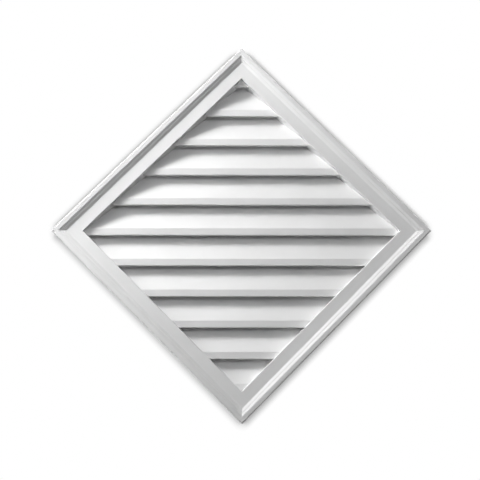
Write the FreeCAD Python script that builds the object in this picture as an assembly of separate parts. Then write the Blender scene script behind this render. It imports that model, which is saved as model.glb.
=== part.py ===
"""Diamond gable vent, moulded in one piece: a stepped frame around slanted louvres.

Millimetres. The origin is the centre of the back, which lies flat on the wall in the plane y = 0.
The front faces -Y, +Z is up, and the frame stands on one corner.
"""
import FreeCAD, Part
import math
import os

# Frame, measured across one side from the outer edge inward
point_to_point = 914.4
frame_depth = 58.0
lip_width = 12.3
step_run = 5.9
step_angle = 36.0
tread_width = 1.0
band_width = 27.9
wall_draft = 2.0
outer_round = 3.5
step_round = 4.0
inner_round = 0.8

# Louvres, measured in the upright section from front to back
louvre_pitch = 74.35
lowest_nose_rise = 2.0
nose_setback = 12.7
nose_height = 16.7
nose_underside = 10.0
slope_angle = 62.7
nose_top_round = 2.5
nose_bottom_round = 1.2
underside_round = 3.0
louvre_embed = 6.0

# Places worked out from the sizes above
outer_apothem = point_to_point / (2 * math.sqrt(2))
step_drop = step_run * math.tan(math.radians(step_angle))
frame_width = lip_width + 2 * step_run + tread_width + band_width
opening_apothem = outer_apothem - frame_width
opening_corner = opening_apothem * math.sqrt(2)
band_depth = frame_depth - 2 * step_drop
nose_depth = band_depth - nose_setback
slope = math.tan(math.radians(slope_angle))


def rounded_face(corners):
    """A flat face from (point, radius) corners, with a tangent arc at each corner that has a radius."""
    ends = []
    edges = []
    count = len(corners)
    for index, (point, radius) in enumerate(corners):
        before = (corners[index - 1][0] - point).normalize()
        after = (corners[(index + 1) % count][0] - point).normalize()
        half_angle = before.getAngle(after) / 2
        setback = radius / math.tan(half_angle)
        start = point + before * setback
        end = point + after * setback
        ends.append((start, end))
        if radius:
            inward = (before + after).normalize()
            middle = point + inward * (radius / math.sin(half_angle) - radius)
            edges.append(Part.Arc(start, middle, end).toShape())
    for index in range(count):
        edges.append(Part.makeLine(ends[index][1], ends[(index + 1) % count][0]))
    return Part.Face(Part.Wire(Part.__sortEdges__(edges)))


def section_point(depth, height):
    """A point of an upright section, at a distance in front of the wall and a height."""
    return FreeCAD.Vector(0, -depth, height)


def frame_side():
    """One side of the frame, straight along X above the centre, with its ends cut to a mitre."""
    step_edge = outer_apothem - lip_width
    tread_edge = step_edge - step_run
    second_edge = tread_edge - tread_width
    band_edge = second_edge - step_run
    back_apothem = opening_apothem - band_depth * math.tan(math.radians(wall_draft))
    profile = rounded_face([
        (section_point(0, outer_apothem), 0),
        (section_point(frame_depth, outer_apothem), outer_round),
        (section_point(frame_depth, step_edge), step_round),
        (section_point(frame_depth - step_drop, tread_edge), 0),
        (section_point(frame_depth - step_drop, second_edge), 0),
        (section_point(band_depth, band_edge), step_round),
        (section_point(band_depth, opening_apothem), inner_round),
        (section_point(0, back_apothem), 0),
    ])
    bar = profile.extrude(FreeCAD.Vector(2 * outer_apothem, 0, 0))
    bar.translate(FreeCAD.Vector(-outer_apothem, 0, 0))
    mitre = Part.Face(Part.makePolygon([
        FreeCAD.Vector(0, 0, 0),
        FreeCAD.Vector(outer_apothem, 0, outer_apothem),
        FreeCAD.Vector(-outer_apothem, 0, outer_apothem),
        FreeCAD.Vector(0, 0, 0),
    ])).extrude(FreeCAD.Vector(0, -frame_depth, 0))
    return bar.common(mitre)


def on_corner(shape, quarter_turns=0):
    """The shape turned about Y from flat sides to standing on a corner, with whole quarter turns added."""
    turned = shape.copy()
    turned.rotate(FreeCAD.Vector(0, 0, 0), FreeCAD.Vector(0, 1, 0), 45 + 90 * quarter_turns)
    return turned


def louvre_section(nose_bottom):
    """The section of one louvre: upright nose, flat underside, and a slab that slopes up to the wall plane."""
    slab_rise = nose_depth * slope
    underside_rise = (nose_depth - nose_underside) * slope
    return rounded_face([
        (section_point(nose_depth, nose_bottom), nose_bottom_round),
        (section_point(nose_depth, nose_bottom + nose_height), nose_top_round),
        (section_point(0, nose_bottom + nose_height + slab_rise), 0),
        (section_point(0, nose_bottom + underside_rise), 0),
        (section_point(nose_depth - nose_underside, nose_bottom), underside_round),
    ])


def louvres():
    """All louvres, from the bottom corner of the opening upward, as long as a nose fits below the top corner."""
    seat_apothem = opening_apothem + louvre_embed
    seat = Part.makeBox(2 * seat_apothem, frame_depth, 2 * seat_apothem,
                        FreeCAD.Vector(-seat_apothem, -frame_depth, -seat_apothem))
    seat = on_corner(seat)
    lowest = -opening_corner + lowest_nose_rise
    count = int((opening_corner - lowest) // louvre_pitch) + 1
    blades = []
    for index in range(count):
        section = louvre_section(lowest + index * louvre_pitch)
        blade = section.extrude(FreeCAD.Vector(point_to_point, 0, 0))
        blade.translate(FreeCAD.Vector(-point_to_point / 2, 0, 0))
        blades.append(blade.common(seat))
    return blades


side = frame_side()
sides = [on_corner(side, turns) for turns in range(4)]
vent_body = sides[0].multiFuse(sides[1:] + louvres()).removeSplitter()

os.makedirs("parts", exist_ok=True)
vent_body.exportStep("parts/vent_body.step")
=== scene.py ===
"""Looks for a white, moulded diamond gable vent: primed skin, white ground, lamps and camera."""
import math

import bpy
import numpy as np
from mathutils import Matrix, Vector


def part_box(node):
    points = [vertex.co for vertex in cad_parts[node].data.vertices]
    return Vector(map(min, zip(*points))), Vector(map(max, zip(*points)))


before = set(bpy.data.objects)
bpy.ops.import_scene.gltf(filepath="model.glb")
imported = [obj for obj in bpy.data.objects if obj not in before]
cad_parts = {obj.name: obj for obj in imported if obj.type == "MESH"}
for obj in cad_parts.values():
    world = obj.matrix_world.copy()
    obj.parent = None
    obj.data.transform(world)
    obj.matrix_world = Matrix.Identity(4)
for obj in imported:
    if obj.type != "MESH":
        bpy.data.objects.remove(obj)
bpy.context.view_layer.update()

low_corner, high_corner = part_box("vent_body")
lip_plane = low_corner.y
wall_plane = high_corner.y

# Camera, from the photograph's perspective
image_pixels = 480
focal_pixels = 900.0
sensor_width = 36.0
camera_distance = 2.155
camera_elevation = -8.73
camera_azimuth = -0.72
camera_roll = -0.05
camera_aim = Vector((-0.0041, lip_plane, -0.0237))

# Lamps, all aimed at the middle of the front: place, power in watts, width and height in metres
lamp_aim = Vector((0.0, lip_plane, 0.0))
lamps = {
    "key": (Vector((-1.19, lip_plane - 0.78, 0.87)), 12.0, 0.35, 0.35),
    "upper": (Vector((-0.59, lip_plane - 0.46, 0.78)), 3.0, 0.25, 0.25),
    "left": (Vector((-1.83, lip_plane - 0.46, 0.46)), 6.1, 0.70, 0.70),
    "far_left": (Vector((-2.74, lip_plane - 0.91, 1.10)), 27.0, 1.05, 1.05),
    "front_left": (Vector((-0.91, lip_plane - 1.19, 0.46)), 2.6, 0.55, 0.55),
    "front": (Vector((0.0, lip_plane - 2.97, 0.55)), 13.1, 0.40, 0.40),
    "top": (Vector((0.0, lip_plane - 1.37, 2.74)), 11.5, 1.40, 1.40),
    "below": (Vector((0.0, 1.20, -3.00)), 85.0, 1.20, 1.20),
    "right": (Vector((2.10, -0.03, 2.10)), 32.0, 0.06, 0.60),
}

# Faint light from all around
sky_light = 0.006

# Primed skin, with pattern scales in features per metre
cloud_scale = 9.0
speckle_scale = 420.0
peel_scale = 260.0
peel_strength = 0.12
peel_height = 0.0004
cloud_share = 0.7
skin_dark = (0.845, 0.845, 0.845)
skin_light = (0.885, 0.885, 0.885)
skin_roughness = 0.55
roughness_spread = 0.10
skin_gloss = 0.20

# White ground, and the painted shadow on it close to the vent: its emitted tone turns grey where the vent
# blocks the half sphere
ground_gap = 0.001
ground_half = 3.0
painted_shadow_samples = 16
painted_shadow_meeting = 0.03
upper_painted_shadow_reach = 0.036
upper_painted_shadow_lean = 0.08
upper_painted_shadow_grey = 0.45
upper_painted_shadow_darkest = 0.72
upper_painted_shadow_whitest = 0.92
lower_painted_shadow_reach = 0.022
lower_painted_shadow_lean = 0.25
lower_painted_shadow_depth = 1.2

# Pale floor
floor_drop = 0.35
floor_depth = 4.0
floor_paint = (0.40, 0.40, 0.40, 1.0)
floor_roughness = 0.9
floor_glow = 0.62

# Nets beside the upper left side, which meet a little behind the lip
net_gap = 0.001
net_join = 0.005
lip_net_reach = 0.008
wall_net_pass = 0.3
lip_net_pass = 0.74

white = (1.0, 1.0, 1.0, 1.0)


class Link:
    """A shader socket that takes part in Python arithmetic: each operator adds its Math node."""

    def __init__(self, tree, socket):
        self.tree = tree
        self.socket = socket

    @staticmethod
    def feed(tree, target, value):
        """Link a Link to a socket, or set any other value on it."""
        if isinstance(value, Link):
            tree.links.new(value.socket, target)
        else:
            target.default_value = value

    @classmethod
    def node(cls, tree, kind, settings=None, inputs=None, output=0):
        """Any node from its type: settings first, then each input's value or link, by name or index."""
        made = tree.nodes.new(kind)
        for name, value in (settings or {}).items():
            setattr(made, name, value)
        for name, value in (inputs or {}).items():
            cls.feed(tree, made.inputs[name], value)
        return cls(tree, made.outputs[output])

    def maths(self, operation, first, second):
        """One Math node with two inputs."""
        return Link.node(self.tree, "ShaderNodeMath", {"operation": operation}, {0: first, 1: second})

    def __add__(self, other):
        return self.maths("ADD", self, other)

    def __radd__(self, other):
        return self.maths("ADD", other, self)

    def __sub__(self, other):
        return self.maths("SUBTRACT", self, other)

    def __rsub__(self, other):
        return self.maths("SUBTRACT", other, self)

    def __mul__(self, other):
        return self.maths("MULTIPLY", self, other)

    def __rmul__(self, other):
        return self.maths("MULTIPLY", other, self)

    def smooth(self, low, high):
        """0 below low, 1 above high, and a smooth step between."""
        return Link.node(self.tree, "ShaderNodeMapRange", {"interpolation_type": "SMOOTHSTEP"},
                         {"Value": self, "From Min": low, "From Max": high})

    def colours(self, dark, light):
        """A colour between two others, by this value as the share of the second."""
        mixed = Link.node(self.tree, "ShaderNodeMix", {"data_type": "RGBA"}, {"Factor": self}, output=2)
        mixed.socket.node.inputs[6].default_value = (*dark, 1.0)
        mixed.socket.node.inputs[7].default_value = (*light, 1.0)
        return mixed


def new_material(name):
    """An empty node material, with its tree and its output node's surface socket."""
    material = bpy.data.materials.new(name)
    material.use_nodes = True
    tree = material.node_tree
    tree.nodes.clear()
    surface = tree.nodes.new("ShaderNodeOutputMaterial").inputs["Surface"]
    return material, tree, surface


def primed_white_skin():
    """White primer on moulded foam: faint cloudy tone, uneven sheen and a fine orange-peel bump."""
    material, tree, surface = new_material("primed_white_skin")
    place = Link.node(tree, "ShaderNodeTexCoord", output="Object")

    def noise(scale, detail):
        """Noise over the skin, from 0 to 1."""
        inputs = {"Vector": place, "Scale": scale, "Detail": detail}
        return Link.node(tree, "ShaderNodeTexNoise", inputs=inputs)

    cloud = noise(cloud_scale, 3.0)
    speckle = noise(speckle_scale, 2.0)
    peel = noise(peel_scale, 3.0)
    tone = cloud.smooth(0.3, 0.7) * cloud_share + speckle * (1 - cloud_share)
    skin_bump = Link.node(tree, "ShaderNodeBump", inputs={
        "Strength": peel_strength,
        "Distance": peel_height,
        "Height": peel,
    })
    shader = Link.node(tree, "ShaderNodeBsdfPrincipled", inputs={
        "Base Color": tone.colours(skin_dark, skin_light),
        "Roughness": skin_roughness + cloud * roughness_spread,
        "Normal": skin_bump,
        "Specular IOR Level": skin_gloss,
    })
    Link.feed(tree, surface, shader)
    return material


def open_share(tree, reach, lean):
    """The share of a half sphere over a surface, leaning to the left toward the lamps, that nothing within
    reach blocks; it sets the painted shadow on the ground.
    """
    normal = Link.node(tree, "ShaderNodeCombineXYZ", inputs={0: -lean, 1: -1.0, 2: 0.0})
    return Link.node(tree, "ShaderNodeAmbientOcclusion", {"samples": painted_shadow_samples},
                     {"Distance": reach, "Normal": normal}, output="AO")


def clear_from_behind(tree, shader):
    """A shader that shows on the front of a sheet only; from behind the sheet is clear."""
    clear = Link.node(tree, "ShaderNodeBsdfTransparent")
    behind = Link.node(tree, "ShaderNodeNewGeometry", output="Backfacing")
    return Link.node(tree, "ShaderNodeMixShader", inputs={0: behind, 1: shader, 2: clear})


def white_ground():
    """White paper for the camera, with a painted shadow emitted close to what stands on it."""
    material, tree, surface = new_material("white_ground")
    # Painted shadow: a wide grey above the vent and a tighter, left-leaning one below, emitted, not lit
    upper_open = open_share(tree, upper_painted_shadow_reach, upper_painted_shadow_lean)
    upper_light = upper_open.smooth(upper_painted_shadow_darkest, upper_painted_shadow_whitest)
    upper_shaded_paper = upper_painted_shadow_grey + upper_light * (1 - upper_painted_shadow_grey)
    lower_open = open_share(tree, lower_painted_shadow_reach, lower_painted_shadow_lean)
    lower_shaded_paper = 1 - (1 - lower_open) * lower_painted_shadow_depth
    place = Link.node(tree, "ShaderNodeTexCoord", output="Object")
    height = Link.node(tree, "ShaderNodeSeparateXYZ", inputs={0: place}, output="Z")
    above = height.smooth(-painted_shadow_meeting, painted_shadow_meeting)
    # The emitted colour is white paper with the painted shadow mixed in by height
    paper = Link.node(tree, "ShaderNodeEmission", inputs={
        "Color": lower_shaded_paper + above * (upper_shaded_paper - lower_shaded_paper),
    })
    Link.feed(tree, surface, clear_from_behind(tree, paper))
    return material


def pale_floor():
    """Pale floor paint with a share of its own brightness, so that it stays pale far from the lamps."""
    material, tree, surface = new_material("pale_floor")
    paint = Link.node(tree, "ShaderNodeBsdfPrincipled", inputs={
        "Base Color": floor_paint,
        "Roughness": floor_roughness,
        "Specular IOR Level": 0.0,
        "Emission Color": white,
        "Emission Strength": floor_glow,
    })
    Link.feed(tree, surface, clear_from_behind(tree, paint))
    return material


def grey_net(name, share):
    """A net that lets a share of the light through."""
    material, tree, surface = new_material(name)
    net = Link.node(tree, "ShaderNodeBsdfTransparent", inputs={"Color": (share, share, share, 1.0)})
    Link.feed(tree, surface, net)
    return material


def flat_sheet(name, corner, along, across):
    """A rectangle as a mesh: the points corner + u along + v across for u and v of 0 and 1."""
    share = np.array([(0, 0), (1, 0), (1, 1), (0, 1)], float)
    points = np.array(corner) + share @ np.array([along, across])
    mesh = bpy.data.meshes.new(name)
    mesh.from_pydata(points.tolist(), [], [(0, 1, 2, 3)])
    sheet = bpy.data.objects.new(name, mesh)
    bpy.context.scene.collection.objects.link(sheet)
    return sheet


def make_stage():
    """The ground behind the vent and a floor below it, which neither light the vent nor block a lamp."""
    width = 2 * ground_half
    ground_corner = (-ground_half, wall_plane + ground_gap, -ground_half)
    ground = flat_sheet("ground", ground_corner, (width, 0, 0), (0, 0, width))
    ground.data.materials.append(white_ground())
    floor_corner = (-ground_half, -floor_depth, low_corner.z - floor_drop)
    floor = flat_sheet("floor", floor_corner, (width, 0, 0), (0, 2 * floor_depth, 0))
    floor.data.materials.append(pale_floor())
    for sheet in (ground, floor):
        sheet.visible_diffuse = False
        sheet.visible_shadow = False


def make_nets():
    """Two unseen nets beside the upper left side, so that the lamps don't bleach its outer wall and lip."""
    offset = net_gap / math.sqrt(2)
    reach = high_corner.z
    join = lip_plane + net_join
    nets = {
        "wall_net": (wall_plane, join, wall_net_pass),
        "lip_net": (join, lip_plane - lip_net_reach, lip_net_pass),
    }
    for name, (back, front, share) in nets.items():
        net = flat_sheet(name, (-reach - offset, back, offset), (reach, 0, reach), (0, front - back, 0))
        net.data.materials.append(grey_net(name, share))
        net.visible_camera = False
        net.visible_diffuse = False
        net.visible_glossy = False


def aim_at(thing, target):
    """Turn a lamp or camera so that its -Z axis points at a target."""
    thing.rotation_euler = (target - thing.location).to_track_quat("-Z", "Y").to_euler()


def make_lamps():
    """Soft lamps: five at the left and upper left, and one each in front, high up, low behind and right."""
    for name, (place, power, width, height) in lamps.items():
        light = bpy.data.lights.new(name, "AREA")
        light.shape = "RECTANGLE"
        light.energy = power
        light.size = width
        light.size_y = height
        lamp = bpy.data.objects.new(name, light)
        lamp.location = place
        lamp.visible_camera = False
        aim_at(lamp, lamp_aim)
        bpy.context.scene.collection.objects.link(lamp)


def make_sky():
    """White to the camera, to mirrors and through glass; faint as a light."""
    world = bpy.data.worlds.new("sky")
    bpy.context.scene.world = world
    world.use_nodes = True
    tree = world.node_tree
    tree.nodes.clear()
    faint_sky = Link.node(tree, "ShaderNodeBackground", inputs={"Color": white, "Strength": sky_light})
    white_sky = Link.node(tree, "ShaderNodeBackground", inputs={"Color": white, "Strength": 1.0})
    rays = Link.node(tree, "ShaderNodeLightPath").socket.node.outputs
    to_camera = Link(tree, rays["Is Camera Ray"])
    to_mirror = Link(tree, rays["Is Glossy Ray"])
    through_glass = Link(tree, rays["Is Transmission Ray"])
    seen = to_camera + to_mirror + through_glass
    shader = Link.node(tree, "ShaderNodeMixShader", inputs={0: seen, 1: faint_sky, 2: white_sky})
    surface = tree.nodes.new("ShaderNodeOutputWorld").inputs["Surface"]
    Link.feed(tree, surface, shader)


def make_camera():
    """The photograph's viewpoint: a little below the vent and a hair to the left."""
    azimuth = math.radians(camera_azimuth)
    elevation = math.radians(camera_elevation)
    backward = Vector((math.sin(azimuth) * math.cos(elevation),
                       -math.cos(azimuth) * math.cos(elevation),
                       math.sin(elevation)))
    data = bpy.data.cameras.new("camera")
    data.sensor_width = sensor_width
    data.lens = focal_pixels / image_pixels * sensor_width
    camera = bpy.data.objects.new("camera", data)
    camera.location = camera_aim + backward * camera_distance
    aim_at(camera, camera_aim)
    roll = Matrix.Rotation(math.radians(camera_roll), 4, "Z")
    camera.rotation_euler = (camera.rotation_euler.to_matrix().to_4x4() @ roll).to_euler()
    bpy.context.scene.collection.objects.link(camera)
    bpy.context.scene.camera = camera


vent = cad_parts["vent_body"]
vent.data.materials.clear()
vent.data.materials.append(primed_white_skin())
make_stage()
make_nets()
make_lamps()
make_sky()
make_camera()
bpy.context.scene.view_settings.view_transform = "Standard"
